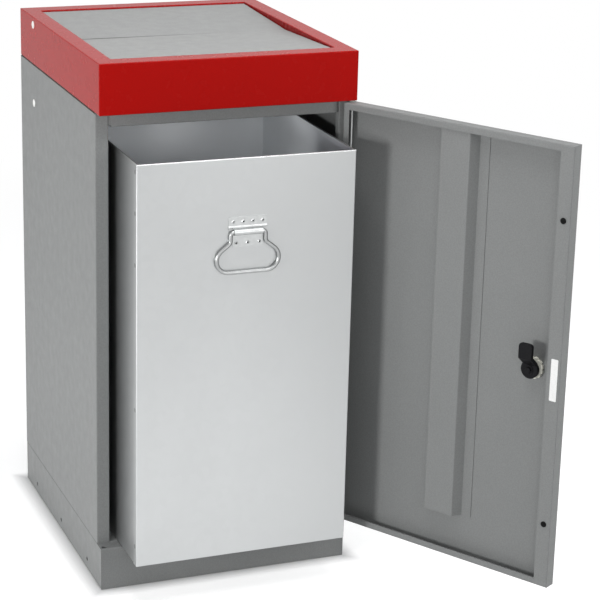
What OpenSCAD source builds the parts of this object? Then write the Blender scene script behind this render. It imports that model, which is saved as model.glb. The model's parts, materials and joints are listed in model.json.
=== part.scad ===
// Free-standing recycling bin: a sheet-steel cabinet on a plinth, a red hood
// with a swinging lid, a lockable door and a pull-out galvanised container.
// Drawn as it stands open. Millimetres, X to the right, front towards -Y,
// origin on the floor at the middle of the plinth.

/* [Cabinet] */
// Width over the side panels
body_w = 400; // [360:1:500]
// Depth from the front of the door to the back panel
body_d = 460; // [440:1:560]
// Height from the floor to the top of the hood
total_h = 820; // [790:1:1000]
// Height of the plinth
plinth_h = 68; // [55:1:90]
// Thickness of the painted steel
sheet = 1.2; // [1:0.1:1.5]
// Width of the front edge of a side panel
flange_w = 20; // [19:0.5:24]
// Depth of the fold behind that edge
flange_return = 12; // [10:0.5:15]
// Height of the rail over the door opening
rail_h = 22; // [18:0.5:28]
// Width of the ledge round the top of the plinth
ledge_w = 26; // [24:1:32]
// Diameter of the holes for joining two plinths
join_d = 7; // [5:0.5:9]
// Distance between those holes
join_pitch = 155; // [130:1:170]
// Height of those holes above the floor
join_z = 17; // [12:0.5:25]

/* [Hood] */
// Height of the hood
hood_h = 76; // [70:1:100]
// Width of its top rim at the sides
rim_side = 27; // [24:0.5:32]
// Width of its top rim at the front and back
rim_end = 32; // [28:0.5:38]
// Depth of the fold round the opening
throat_h = 30; // [28:0.5:34]
// Diameter of the hood screws
screw_d = 5; // [4:0.5:6]
// Head diameter of the plugs in the sides
plug_d = 12; // [11:0.5:14]
// Place of the plugs behind the middle of the cabinet
plug_y = 144; // [120:1:170]
// Distance of the plug in a side panel below the hood
plug_drop = 62; // [50:1:100]

/* [Lid] */
// Gap between the lid and the rim
lid_gap = 2; // [1.8:0.1:3]
// Depth of the valley across the middle of the lid
lid_valley = 8; // [4:0.5:10]
// Depth of the folded edge of the lid
lid_edge = 12; // [8:0.5:13]
// Distance of the pivot below the rim
pivot_drop = 18; // [17:0.5:20]
// Diameter of the pivot pins
pivot_d = 6; // [5:0.5:7]
// Height of the weight bar under the lid
weight_h = 60; // [50:1:70]
// Distance of its ends from the ends of the lid
weight_inset = 21; // [18:1:60]

/* [Door] */
// Thickness of the door
door_t = 20; // [18:0.5:22]
// Gap above and below the door and behind it
door_gap = 2; // [1.9:0.1:2.5]
// Gap between a door edge and the side of the cabinet
door_side_gap = 1; // [0.5:0.1:1.5]
// Width of the folded lip at the free edge of the door
lip_w = 22; // [15:0.5:24]
// Width of the lip along its top and bottom
end_lip_w = 10; // [8:0.5:16]
// Width of the lip at the hinge
hinge_lip_w = 10; // [8:0.5:12]
// Distance of the hinge rod from the side and front of the cabinet
rod_inset = 6; // [5.5:0.1:7]
// Diameter of the hinge rod
rod_d = 5; // [4:0.5:6]
// Height of the stiffening rib
rib_h = 16; // [10:0.5:16]
// Width of the raised face of the rib
rib_face = 50; // [40:1:60]
// How far each wall of the rib leans out towards the door sheet
rib_slope = 8.5; // [3:0.5:12]
// Width of each glued edge of the rib
rib_foot = 16.5; // [12:0.5:20]
// Height of the lower end of the rib
rib_z = 134; // [110:1:160]
// How far the door is drawn open, in degrees
door_open = 121; // [90:1:175]

/* [Lock] */
// Distance of the lock from the free edge of the door
lock_inset = 54; // [50:0.5:55]
// Height of the lock
lock_z = 400; // [380:1:430]
// Diameter of the threaded lock body
lock_d = 19; // [17:0.5:20]
// Length of the tongue from its screw to the tip
tongue_len = 43; // [41:0.5:45]
// Width of the tongue
tongue_w = 22; // [18:0.5:23]
// Thickness of the tongue
tongue_t = 6; // [5:0.1:6.4]
// How far the tongue is cranked
crank = 14.5; // [14.1:0.1:14.9]

/* [Container] */
// Width of the container
bin_w = 336; // [320:1:340]
// Depth of the container
bin_d = 388; // [360:1:388]
// Distance of its rim below the hood
bin_room = 54.5; // [50:0.5:120]
// Thickness of the galvanised steel
bin_sheet = 1; // [0.8:0.1:1.2]
// Depth of the hem round its rim
hem_h = 10; // [8:0.5:14]
// Overlap of the front sheet on the sides
wrap_w = 14; // [10:0.5:18]
// Distance it stands behind the front of the side panels when pushed in
bin_back = 45; // [42:0.5:46]
// How far the container is drawn pulled out
bin_out = 145; // [140:1:210]

/* [Handle] */
// Distance of the handle's pivot below the rim of the container
handle_drop = 110; // [80:1:200]
// Diameter of the handle wire
wire_d = 6; // [5:0.5:6.5]
// Distance between the two necks of the handle
neck_w = 54; // [50:1:60]
// Width of the handle plate
plate_w = 60; // [60:1:66]
// Height of the upper leaf of the handle plate over its bead
leaf_h = 18.5; // [16:0.5:24]
// Diameter of the rivet shanks
rivet_d = 3; // [2.5:0.1:3.2]

/* [Hidden] */
$fn = 48;

// Gap between pieces that slide or swing past each other
free_gap = 0.3;
// Open joint between the side panels and the hood, which the rail and the back carry
hood_joint = 1;
// Open seam between two sheets of the plinth
seam = 0.3;
// Radial play of a pin in its bush
pin_play = 0.06;
// Radial play of a fastener in its hole
hole_play = 0.25;
// Radial play where a piece is pressed in
press_play = 0.01;

// Outside radius of the bends, a little over the sheet
bend_r = sheet + 0.4;
bin_bend_r = bin_sheet + 0.4;

half_w = body_w / 2;
front_y = -body_d / 2;
back_y = body_d / 2;
face_y = front_y + door_t + door_gap;
body_top = total_h - hood_h;
inner_x = half_w - sheet;

rail_depth = 18;
rail_x = half_w - flange_w - 4;
top_fold = 20;
back_fold = 15;
front_ledge = door_t + door_gap + rail_depth;
foot_fold = 15;
join_y = 5;

hinge_x = half_w - rod_inset;
hinge_y = front_y + rod_inset;
bush_d = rod_d + 1.4;
bush_flange_d = 2 * (rod_inset - sheet) - 0.4;
bush_flange_h = 0.8;
washer_h = door_gap - bush_flange_h - 0.4;

throat_x = half_w - rim_side;
throat_y = back_y - rim_end;
pivot_z = total_h - pivot_drop;
lid_x = throat_x - lid_gap;
lid_y = throat_y - lid_gap;
lid_top = total_h - 2;
lid_low = lid_top - lid_valley;
weight_x = lid_x - weight_inset;
lid_bush_d = pivot_d + 3;
lid_bush_flange = 1;

door_x0 = -half_w + door_side_gap;
door_x1 = half_w - door_side_gap;
door_z0 = plinth_h + door_gap;
door_z1 = body_top - door_gap;
door_back = front_y + door_t;
door_skin = front_y + sheet;

buffer_low = 100;
buffer_high = 109;
buffer_z = [door_z0 + buffer_low, door_z1 - buffer_high];
buffer_x = door_x0 + lip_w / 2;
buffer_stem = 5;

lock_x = door_x0 + lock_inset;
lock_end = front_y + 10;
disc_d = tongue_w + 6;
plug_core = 12;
rosette_d = lock_d + 5;
slot_low = tongue_w / 2 + 3;
slot_reach = lock_inset + door_side_gap - flange_w;
slot_high = sqrt(pow(tongue_w / 2, 2) + pow(tongue_len, 2) - pow(slot_reach, 2)) + 1.5;

floor_top = plinth_h + sheet;
bin_z = floor_top + free_gap;
bin_top = body_top - bin_room;
bin_front = face_y + bin_back;
bin_rear = bin_front + bin_d;
bin_half = bin_w / 2;
bin_floor_edge = 14;

grip_r = wire_d / 2;
grip_y = bin_front - grip_r - 0.4;
grip_z = bin_top - handle_drop;
plate_t = 1.2;
bead_r = grip_r + free_gap;
top_bend = 4.5;
leaf_top = grip_z + bead_r + plate_t + leaf_h;
bead_w = neck_w - 2 * top_bend - 2 * free_gap;
leaf_w = neck_w - wire_d - 2 * free_gap;

screw_inset = 50;
hood_screw_x = half_w - screw_inset;
hood_screw_y = [face_y + rail_depth / 2, back_y - 11];
plug_z = [body_top - plug_drop, total_h - 12];

module mirror_x() {
    children();
    mirror([1, 0, 0]) children();
}

// Turns a door piece from closed to where it is drawn
module swung() {
    translate([hinge_x, hinge_y, 0])
        rotate([0, 0, door_open])
            translate([-hinge_x, -hinge_y, 0])
                children();
}

// Moves a container piece from pushed in to where it is drawn
module pulled() {
    translate([0, -bin_out, 0]) children();
}

// A plate between two opposite corners
module slab(a, b) {
    translate(a) cube(b - a);
}

// A round bar along Y between two depths
module bar_y(x, z, y0, y1, d) {
    translate([x, y0, z]) rotate([-90, 0, 0]) cylinder(h = y1 - y0, d = d);
}

// A round bar along X between two places
module bar_x(y, z, x0, x1, d) {
    translate([x0, y, z]) rotate([0, 90, 0]) cylinder(h = x1 - x0, d = d);
}

// What a bend's outside radius takes off a square edge along Z. Turned by
// quarters, the metal lies towards +X +Y, -X +Y, -X -Y or +X -Y.
module edge_waste(len, r, quarter) {
    rotate([0, 0, 90 * quarter])
        linear_extrude(height = len)
            difference() {
                translate([-1, -1]) square(r + 1);
                translate([r, r]) circle(r);
            }
}

// The same for edges along Z, along X (where +X +Y above reads +Y +Z)
// and along Y (where it reads +X -Z)
module round_z(x, y, z0, z1, quarter, r = bend_r) {
    translate([x, y, z0]) edge_waste(z1 - z0, r, quarter);
}

module round_x(y, z, x0, x1, quarter, r = bend_r) {
    translate([x0, y, z]) rotate([90, 0, 90]) edge_waste(x1 - x0, r, quarter);
}

module round_y(x, z, y0, y1, quarter, r = bend_r) {
    translate([x, y0, z]) rotate([-90, 0, 0]) edge_waste(y1 - y0, r, quarter);
}

// Front of the plinth: a skirt between the sides, a ledge over the full width
// and a fold at the floor
module plinth_front() {
    skirt_x = inner_x - seam;
    color("#8c8f8f")
    difference() {
        union() {
            slab([-skirt_x, front_y, 0], [skirt_x, front_y + sheet, plinth_h]);
            slab([-half_w, front_y, plinth_h - sheet], [half_w, front_y + front_ledge, plinth_h]);
            slab([-skirt_x, front_y, 0], [skirt_x, front_y + foot_fold, sheet]);
        }
        for (x = [-hinge_x, hinge_x])
            translate([x, hinge_y, plinth_h - 2 * sheet])
                cylinder(h = 3 * sheet, d = bush_d);
        round_x(front_y, 0, -half_w - 1, half_w + 1, 0);
        round_x(front_y, plinth_h, -half_w - 1, half_w + 1, 3);
        round_y(-half_w, plinth_h, front_y - 1, front_y + front_ledge + 1, 0);
        round_y(half_w, plinth_h, front_y - 1, front_y + front_ledge + 1, 1);
    }
}

// Sides and back of the plinth with the ledge that carries the cabinet
module plinth_surround() {
    ledge_y0 = front_y + front_ledge;
    color("#8c8f8f")
    difference() {
        union() {
            mirror_x() {
                slab([-half_w, front_y, 0], [-inner_x, back_y, plinth_h - sheet]);
                slab([-half_w, ledge_y0, plinth_h - 2 * sheet], [-inner_x, back_y, plinth_h]);
                slab([-half_w, ledge_y0, plinth_h - sheet], [-half_w + ledge_w, back_y, plinth_h]);
                slab([-half_w, front_y + foot_fold, 0], [-inner_x + foot_fold, back_y, sheet]);
            }
            slab([-half_w, back_y - sheet, 0], [half_w, back_y, plinth_h]);
            slab([-half_w, back_y - ledge_w, plinth_h - sheet], [half_w, back_y, plinth_h]);
            slab([-half_w, back_y - foot_fold, 0], [half_w, back_y, sheet]);
        }
        for (i = [-1, 0, 1])
            bar_x(join_y + i * join_pitch, join_z, -half_w - 1, half_w + 1, join_d);
        mirror_x() {
            round_y(-half_w, 0, front_y - 1, back_y + 1, 3);
            round_y(-half_w, plinth_h, ledge_y0 - 0.01, back_y + 1, 0);
            round_z(-half_w, back_y, -1, plinth_h + 1, 3);
        }
        round_x(back_y, 0, -half_w - 1, half_w + 1, 1);
        round_x(back_y, plinth_h, -half_w - 1, half_w + 1, 2);
    }
}

// Floor that the container slides on, notched round the folds of the side panels
module floor_panel() {
    notch_y = face_y + flange_return + free_gap;
    notch_x = half_w - flange_w - free_gap;
    rear_y = back_y - 2 * sheet;
    color("#8c8f8f")
    translate([0, 0, plinth_h])
        linear_extrude(height = sheet)
            polygon([[-notch_x, face_y], [notch_x, face_y], [notch_x, notch_y],
                [inner_x, notch_y], [inner_x, rear_y], [-inner_x, rear_y],
                [-inner_x, notch_y], [-notch_x, notch_y]]);
}

// Side panel with a box fold at the front and single folds at the back and top
module side_sheet() {
    side_top = body_top - hood_joint;
    difference() {
        union() {
            slab([-half_w, face_y, plinth_h], [-inner_x, back_y, side_top]);
            slab([-half_w, face_y, plinth_h], [-half_w + flange_w, face_y + sheet, side_top]);
            slab([-half_w + flange_w - sheet, face_y, plinth_h],
                [-half_w + flange_w, face_y + flange_return, side_top]);
            slab([-half_w, back_y - 2 * sheet, plinth_h + sheet],
                [-inner_x + back_fold, back_y - sheet, side_top]);
            slab([-half_w, face_y + flange_return + 2, side_top - sheet],
                [-half_w + top_fold, back_y - 2 * sheet, side_top]);
        }
        bar_x(plug_y, plug_z[0], -half_w - 1, -inner_x + 1, plug_d - 2);
        round_z(-half_w, face_y, plinth_h - 1, side_top + 1, 0);
        round_z(-half_w + flange_w, face_y, plinth_h - 1, side_top + 1, 1);
        round_y(-half_w, side_top, face_y + flange_return + 2, back_y - 2 * sheet, 0);
    }
}

// Left panel: the fold also has the slot that the lock tongue turns into
module side_left() {
    color("#9a9d9d")
    difference() {
        side_sheet();
        slab([-half_w + flange_w - 2 * sheet, face_y + sheet + 0.5, lock_z - slot_low],
            [-half_w + flange_w + 1, face_y + flange_return - 2, lock_z + slot_high]);
    }
}

module side_right() {
    color("#9a9d9d") mirror([1, 0, 0]) side_sheet();
}

// Back panel between the sides, with its own fold at the top
module back_panel() {
    color("#9a9d9d")
    difference() {
        union() {
            slab([-inner_x, back_y - sheet, plinth_h], [inner_x, back_y, body_top]);
            slab([-half_w + top_fold, back_y - top_fold, body_top - sheet],
                [half_w - top_fold, back_y, body_top]);
        }
        for (x = [-hood_screw_x, hood_screw_x])
            translate([x, hood_screw_y[1], body_top - 2 * sheet])
                cylinder(h = 3 * sheet, r = screw_d / 2 + hole_play);
    }
}

// Channel over the door opening
module top_rail() {
    z0 = body_top - rail_h;
    color("#7d8080")
    difference() {
        union() {
            slab([-rail_x, face_y, z0], [rail_x, face_y + sheet, body_top]);
            slab([-rail_x, face_y, z0], [rail_x, face_y + rail_depth, z0 + sheet]);
            slab([-rail_x, face_y, body_top - sheet], [rail_x, face_y + rail_depth, body_top]);
            slab([-rail_x, face_y + rail_depth - sheet, z0], [rail_x, face_y + rail_depth, z0 + 6]);
        }
        for (x = [-hood_screw_x, hood_screw_x])
            translate([x, hood_screw_y[0], body_top - 2 * sheet])
                cylinder(h = 3 * sheet, r = screw_d / 2 + hole_play);
        round_x(face_y, z0, -rail_x - 1, rail_x + 1, 0);
        round_x(face_y, body_top, -rail_x - 1, rail_x + 1, 3);
        round_x(face_y + rail_depth, z0, -rail_x - 1, rail_x + 1, 1);
    }
}

// Angle at each end of the rail, welded to the fold of the side panel
module corner_brackets() {
    z0 = body_top - rail_h + 2 * sheet;
    z1 = body_top - 2 * sheet;
    x0 = -half_w + flange_w;
    color("#a6a9a9")
    mirror_x() {
        slab([x0, face_y + sheet, z0], [x0 + 18, face_y + 2 * sheet, z1]);
        slab([x0, face_y + sheet, z0], [x0 + sheet, face_y + flange_return, z1]);
    }
}

// Red hood: a ring of sheet folded in at the top and bottom and down round the opening
module hood() {
    color("#a8160f")
    difference() {
        slab([-half_w, front_y, body_top], [half_w, back_y, total_h]);
        // inside behind the walls
        difference() {
            slab([-inner_x, front_y + sheet, body_top + sheet],
                [inner_x, back_y - sheet, total_h - sheet]);
            slab([-throat_x - sheet, -throat_y - sheet, total_h - throat_h],
                [throat_x + sheet, throat_y + sheet, total_h]);
        }
        // opening of the throat
        slab([-throat_x, -throat_y, body_top + 2 * sheet], [throat_x, throat_y, total_h + 1]);
        // opening over the cabinet
        slab([-half_w + top_fold, front_y + front_ledge, body_top - 1],
            [half_w - top_fold, back_y - top_fold, body_top + 2 * sheet]);
        for (x = [-hinge_x, hinge_x])
            translate([x, hinge_y, body_top - 1])
                cylinder(h = 2 * sheet + 1, d = bush_d);
        for (x = [-hood_screw_x, hood_screw_x], y = hood_screw_y)
            translate([x, y, body_top - 1])
                cylinder(h = 2 * sheet + 1, r = screw_d / 2 + hole_play);
        bar_x(plug_y, plug_z[1], -half_w - 1, -inner_x + 1, plug_d - 2);
        bar_x(plug_y, plug_z[1], inner_x - 1, half_w + 1, plug_d - 2);
        mirror_x() bar_x(0, pivot_z, -throat_x - 2 * sheet, -throat_x + 1, lid_bush_d);
        hood_bends();
    }
}

// Outside radii of the hood: its four corners, the rim and the edge at the bottom
module hood_bends() {
    mirror_x() {
        round_z(-half_w, front_y, body_top - 1, total_h + 1, 0);
        round_z(-half_w, back_y, body_top - 1, total_h + 1, 3);
        round_y(-half_w, total_h, front_y - 1, back_y + 1, 0);
        round_y(-half_w, body_top, front_y - 1, back_y + 1, 3);
        round_y(-throat_x, total_h, -throat_y, throat_y, 1);
    }
    round_x(front_y, total_h, -half_w - 1, half_w + 1, 3);
    round_x(back_y, total_h, -half_w - 1, half_w + 1, 2);
    round_x(front_y, body_top, -half_w - 1, half_w + 1, 0);
    round_x(back_y, body_top, -half_w - 1, half_w + 1, 1);
    round_x(-throat_y, total_h, -throat_x, throat_x, 2);
    round_x(throat_y, total_h, -throat_x, throat_x, 3);
}

// Pan-head screws that hold the hood on the cabinet
module hood_screws() {
    color("#b9bcbd")
    for (x = [-hood_screw_x, hood_screw_x], y = hood_screw_y)
        translate([x, y, body_top + sheet]) {
            difference() {
                cylinder(h = 0.6 * screw_d, d1 = 2 * screw_d, d2 = 1.5 * screw_d);
                translate([0, 0, 0.35 * screw_d]) cylinder(h = screw_d, d = 0.6 * screw_d, $fn = 6);
            }
            translate([0, 0, -2 * sheet - screw_d - 1]) cylinder(h = 2 * sheet + screw_d + 1.01, d = screw_d);
        }
}

// Their hexagon nuts under the folds of the cabinet
module hood_nuts() {
    color("#b9bcbd")
    for (x = [-hood_screw_x, hood_screw_x], y = hood_screw_y)
        translate([x, y, body_top - sheet - 0.8 * screw_d])
            difference() {
                cylinder(h = 0.8 * screw_d, d = 1.85 * screw_d, $fn = 6);
                translate([0, 0, -1]) cylinder(h = screw_d + 2, r = screw_d / 2 + press_play);
            }
}

// Plastic plug: a flat head outside and a hollow stem through the sheet
module side_plug(z) {
    difference() {
        union() {
            bar_x(plug_y, z, -half_w - 1.5, -half_w, plug_d);
            bar_x(plug_y, z, -half_w - 1.5, -half_w + 6, plug_d - 2 - 2 * press_play);
        }
        bar_x(plug_y, z, -half_w + 0.5, -half_w + 7, plug_d - 5);
    }
}

module side_plugs() {
    color("#f2f2ee")
    mirror_x() {
        side_plug(plug_z[0]);
        side_plug(plug_z[1]);
    }
}

// Flanged bushes for the hinge rod: one in the plinth ledge, one in the hood
module hinge_bushes() {
    color("#e4e3dc")
    translate([hinge_x, hinge_y, 0])
        difference() {
            union() {
                translate([0, 0, plinth_h]) cylinder(h = bush_flange_h, d = bush_flange_d);
                translate([0, 0, plinth_h - 4]) cylinder(h = 4.2, d = bush_d - 2 * press_play);
                translate([0, 0, body_top - bush_flange_h]) cylinder(h = bush_flange_h, d = bush_flange_d);
                translate([0, 0, body_top - 0.2]) cylinder(h = 4.2, d = bush_d - 2 * press_play);
            }
            translate([0, 0, plinth_h - 5]) cylinder(h = 7, r = rod_d / 2 + pin_play);
            translate([0, 0, body_top - 2]) cylinder(h = 7, r = rod_d / 2 + pin_play);
        }
}

// Flanged bushes for the lid pins in the folds beside the opening
module lid_bushes() {
    color("#e4e3dc")
    mirror_x()
        difference() {
            union() {
                bar_x(0, pivot_z, -throat_x, -throat_x + lid_bush_flange, lid_bush_d + 4);
                bar_x(0, pivot_z, -throat_x - 4, -throat_x + 0.2, lid_bush_d - 2 * press_play);
            }
            bar_x(0, pivot_z, -throat_x - 5, -throat_x + 3, pivot_d + 2 * pin_play);
        }
}

// Line of the lid's top across its fold, moved down by the given amount
function lid_line(down) = [[-lid_y, lid_top - down], [0, lid_low - down], [lid_y, lid_top - down]];

// Lid: one sheet with a valley fold, edges turned down and an ear at each pivot
module lid_panel() {
    color("#adb0b1")
    difference() {
        union() {
            translate([-lid_x, 0, 0]) rotate([90, 0, 90])
                linear_extrude(height = 2 * lid_x)
                    polygon(concat(lid_line(0), [[lid_y, lid_top - sheet], [0, lid_low - sheet],
                        [-lid_y, lid_top - sheet]]));
            for (y = [-lid_y, lid_y - sheet])
                slab([-lid_x, y, lid_top - lid_edge], [lid_x, y + sheet, lid_top - 0.05]);
            mirror_x()
                translate([-lid_x, 0, 0]) rotate([90, 0, 90])
                    linear_extrude(height = sheet) {
                        polygon(concat(lid_line(0), [[lid_y, lid_top - lid_edge],
                            [14, lid_low - lid_edge], [8, pivot_z - 5], [-8, pivot_z - 5],
                            [-14, lid_low - lid_edge], [-lid_y, lid_top - lid_edge]]));
                        translate([0, pivot_z]) circle(r = 7.5);
                    }
        }
        bar_x(0, pivot_z, -lid_x - 1, lid_x + 1, pivot_d + 2 * press_play);
        round_x(-lid_y, lid_top, -lid_x - 1, lid_x + 1, 3);
        round_x(lid_y, lid_top, -lid_x - 1, lid_x + 1, 2);
    }
}

// Flat bar under the valley whose weight brings the lid back level
module lid_weight() {
    z1 = lid_low - sheet;
    color("#8c8f8f")
    slab([-weight_x, -5, z1 - weight_h], [weight_x, 5, z1]);
}

// Headed pins riveted into the ears of the lid
module lid_pins() {
    color("#c9cccd")
    mirror_x() {
        bar_x(0, pivot_z, -throat_x - 5, -lid_x + sheet + 2, pivot_d);
        bar_x(0, pivot_z, -lid_x + sheet, -lid_x + sheet + 2, pivot_d + 4);
    }
}

// Door: a pan with folded edges and a lip all round, closed position
module door_shape() {
    difference() {
        slab([door_x0, front_y, door_z0], [door_x1, door_back, door_z1]);
        slab([door_x0 + sheet, door_skin, door_z0 + sheet],
            [door_x1 - sheet, door_back - sheet, door_z1 - sheet]);
        slab([door_x0 + lip_w, door_back - 2 * sheet, door_z0 + end_lip_w],
            [door_x1 - hinge_lip_w, door_back + 1, door_z1 - end_lip_w]);
        // holes for the rod, the lock and the buffers
        translate([hinge_x, hinge_y, door_z0 - 1])
            cylinder(h = door_z1 - door_z0 + 2, r = rod_d / 2 + press_play);
        bar_y(lock_x, lock_z, front_y - 1, door_skin + 1, lock_d + 2 * hole_play);
        for (z = buffer_z)
            bar_y(buffer_x, z, door_back - 2 * sheet, door_back + 1, buffer_stem + 2 * press_play);
        // outside radii of the bends round the skin and round the lip
        for (y = [front_y, door_back]) {
            front = y == front_y;
            round_z(door_x0, y, door_z0 - 1, door_z1 + 1, front ? 0 : 3);
            round_z(door_x1, y, door_z0 - 1, door_z1 + 1, front ? 1 : 2);
            round_x(y, door_z0, door_x0 - 1, door_x1 + 1, front ? 0 : 1);
            round_x(y, door_z1, door_x0 - 1, door_x1 + 1, front ? 3 : 2);
        }
    }
}

module door_pan() {
    color("#8f9293") swung() door_shape();
}

// What rounding takes off a corner of a profile: corner, unit vectors along its edges
module corner_waste(p, a, b, r) {
    half = acos(a * b) / 2;
    reach = r / tan(half);
    c = p + (a + b) / norm(a + b) * r / sin(half);
    difference() {
        polygon([p + a * reach, c, p + b * reach, p - a - b]);
        translate(c) circle(r);
    }
}

// Hat-shaped rib up the middle of the door
module door_rib() {
    f = rib_face / 2;
    w = f + rib_slope;
    e = w + rib_foot;
    t = 1;
    wall = [w - f, t - rib_h] / norm([w - f, t - rib_h]);
    color("#8a8d8e")
    swung()
        translate([0, door_skin, rib_z])
            linear_extrude(height = door_z1 - 6 - rib_z)
                difference() {
                    polygon([[-e, 0], [-w + t, 0], [-f + t, rib_h - t], [f - t, rib_h - t],
                        [w - t, 0], [e, 0], [e, t], [w, t], [f, rib_h], [-f, rib_h],
                        [-w, t], [-e, t]]);
                    corner_waste([f, rib_h], [-1, 0], wall, 2 * t);
                    corner_waste([-f, rib_h], [1, 0], [-wall[0], wall[1]], 2 * t);
                }
}

// Rod that the door hangs on, from the plinth ledge up into the hood
module hinge_rod() {
    color("#c9cccd")
    swung()
        translate([hinge_x, hinge_y, plinth_h - 6])
            cylinder(h = body_top - plinth_h + 12, d = rod_d);
}

// Plastic washers on the rod above and below the door
module rod_washers() {
    color("#e4e3dc")
    swung()
        translate([hinge_x, hinge_y, 0])
            for (z = [door_z0 - washer_h, door_z1])
                translate([0, 0, z])
                    difference() {
                        cylinder(h = washer_h, d = bush_flange_d);
                        translate([0, 0, -1])
                            cylinder(h = washer_h + 2, r = rod_d / 2 + press_play);
                    }
}

// Rubber buffers pushed through the lip at the free edge
module door_buffers() {
    color("#161616")
    swung()
        for (z = buffer_z) {
            bar_y(buffer_x, z, door_back, door_back + door_gap - 0.4, 9);
            bar_y(buffer_x, z, door_back - sheet - 0.01, door_back + 0.01, buffer_stem);
            bar_y(buffer_x, z, door_back - sheet - 3, door_back - sheet, 7.5);
        }
}

// Lock body with its collar outside the door
module lock_body() {
    color("#c2c5c6")
    swung()
        difference() {
            union() {
                bar_y(lock_x, lock_z, front_y - 2.5, front_y, rosette_d);
                bar_y(lock_x, lock_z, front_y - 1, lock_end, lock_d);
            }
            bar_y(lock_x, lock_z, front_y - 3, lock_end + 1, plug_core + 2 * pin_play);
        }
}

// Notched ring nut that clamps the lock on the door sheet
module lock_nut() {
    outer_d = lock_d + 14;
    color("#dcdcd6")
    swung()
        difference() {
            bar_y(lock_x, lock_z, door_skin, door_skin + 5, outer_d);
            bar_y(lock_x, lock_z, door_skin - 1, door_skin + 6, lock_d + 2 * press_play);
            for (a = [0 : 30 : 330])
                translate([lock_x, 0, lock_z]) rotate([0, a, 0])
                    slab([outer_d / 2 - 1.4, door_skin - 1, -1.5], [outer_d, door_skin + 6, 1.5]);
        }
}

// Turning core of the lock with its key slot
module lock_plug() {
    color("#b2b5b6")
    swung()
        difference() {
            union() {
                bar_y(lock_x, lock_z, front_y - 2.5, lock_end + free_gap, plug_core);
                slab([lock_x - 4, lock_end + 0.2, lock_z - 4],
                    [lock_x + 4, lock_end + free_gap + tongue_t, lock_z + 4]);
            }
            slab([lock_x - 0.6, front_y - 3, lock_z - 4], [lock_x + 0.6, front_y + 2, lock_z + 4]);
            bar_y(lock_x, lock_z, lock_end - 6, lock_end + 8, 4);
        }
}

// Moulded tongue on a round foot, cranked away from the door, upright as when unlocked
module lock_cam() {
    y0 = lock_end + free_gap;
    y1 = y0 + crank;
    t = tongue_t;
    low = 7.5;
    high = 22;
    color("#1d1d1f")
    swung()
        translate([lock_x, 0, lock_z])
            difference() {
                union() {
                    bar_y(0, 0, y0, y0 + t, disc_d);
                    translate([-tongue_w / 2, 0, 0]) rotate([90, 0, 90])
                        linear_extrude(height = tongue_w)
                            polygon([[y0, 0], [y0 + t, 0], [y0 + t, low], [y1 + t, high - 2],
                                [y1 + t, tongue_len], [y1, tongue_len], [y1, high], [y0, low + 2]]);
                }
                slab([-4, y0 - 1, -4], [4, y0 + t + 1, 4]);
                round_y(-tongue_w / 2, tongue_len, y1 - 1, y1 + t + 1, 0, 5);
                round_y(tongue_w / 2, tongue_len, y1 - 1, y1 + t + 1, 1, 5);
            }
}

// Screw and washer that hold the tongue on the core
module cam_screw() {
    y0 = lock_end + free_gap + tongue_t;
    color("#2a2a2c")
    swung() {
        bar_y(lock_x, lock_z, y0, y0 + 1, 14);
        translate([lock_x, y0 + 1, lock_z]) rotate([-90, 0, 0]) cylinder(h = 3, d = 9, $fn = 6);
        bar_y(lock_x, lock_z, y0 - 11, y0 + 0.01, 4 - 2 * press_play);
    }
}

// Front sheet of the container: wrapped round the sides, hemmed at the top
module container_front() {
    color("#c9cccd")
    pulled()
        difference() {
            union() {
                slab([-bin_half, bin_front, bin_z], [bin_half, bin_front + bin_sheet, bin_top]);
                mirror_x()
                    slab([-bin_half, bin_front, bin_z],
                        [-bin_half + bin_sheet, bin_front + wrap_w, bin_top - hem_h]);
                slab([-bin_half + 2 * bin_sheet + 0.2, bin_front, bin_top - hem_h],
                    [bin_half - 2 * bin_sheet - 0.2, bin_front + 3 * bin_sheet, bin_top]);
            }
            rivet_spots() bar_y(0, 0, bin_front - 1, bin_front + 2 * bin_sheet, rivet_d + 2 * press_play);
            mirror_x() round_z(-bin_half, bin_front, bin_z - 1, bin_top + 1, 0, bin_bend_r);
            round_x(bin_front, bin_top, -bin_half - 1, bin_half + 1, 3, bin_bend_r);
            round_x(bin_front + 3 * bin_sheet, bin_top, -bin_half - 1, bin_half + 1, 2, bin_bend_r);
        }
}

// Sides and back of the container in one bent sheet with a hem inside
module container_wrap() {
    s = bin_sheet;
    y0 = bin_front + s;
    color("#c2c6c8")
    pulled()
        difference() {
            union() {
                mirror_x() {
                    slab([-bin_half + s, y0, bin_z], [-bin_half + 2 * s, bin_rear, bin_top]);
                    slab([-bin_half + s, y0 + 3 * s, bin_top - hem_h],
                        [-bin_half + 4 * s, bin_rear, bin_top]);
                }
                slab([-bin_half + s, bin_rear - s, bin_z], [bin_half - s, bin_rear, bin_top]);
                slab([-bin_half + s, bin_rear - 3 * s, bin_top - hem_h],
                    [bin_half - s, bin_rear, bin_top]);
            }
            mirror_x() {
                round_z(-bin_half + s, bin_rear, bin_z - 1, bin_top + 1, 3, bin_bend_r);
                round_y(-bin_half + s, bin_top, y0 + 3 * s, bin_rear + 1, 0, bin_bend_r);
                round_y(-bin_half + 4 * s, bin_top, y0 + 3 * s, bin_rear - 3 * s, 1, bin_bend_r);
            }
            round_x(bin_rear, bin_top, -bin_half, bin_half, 2, bin_bend_r);
            round_x(bin_rear - 3 * s, bin_top, -bin_half + 4 * s, bin_half - 4 * s, 3, bin_bend_r);
        }
}

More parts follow.
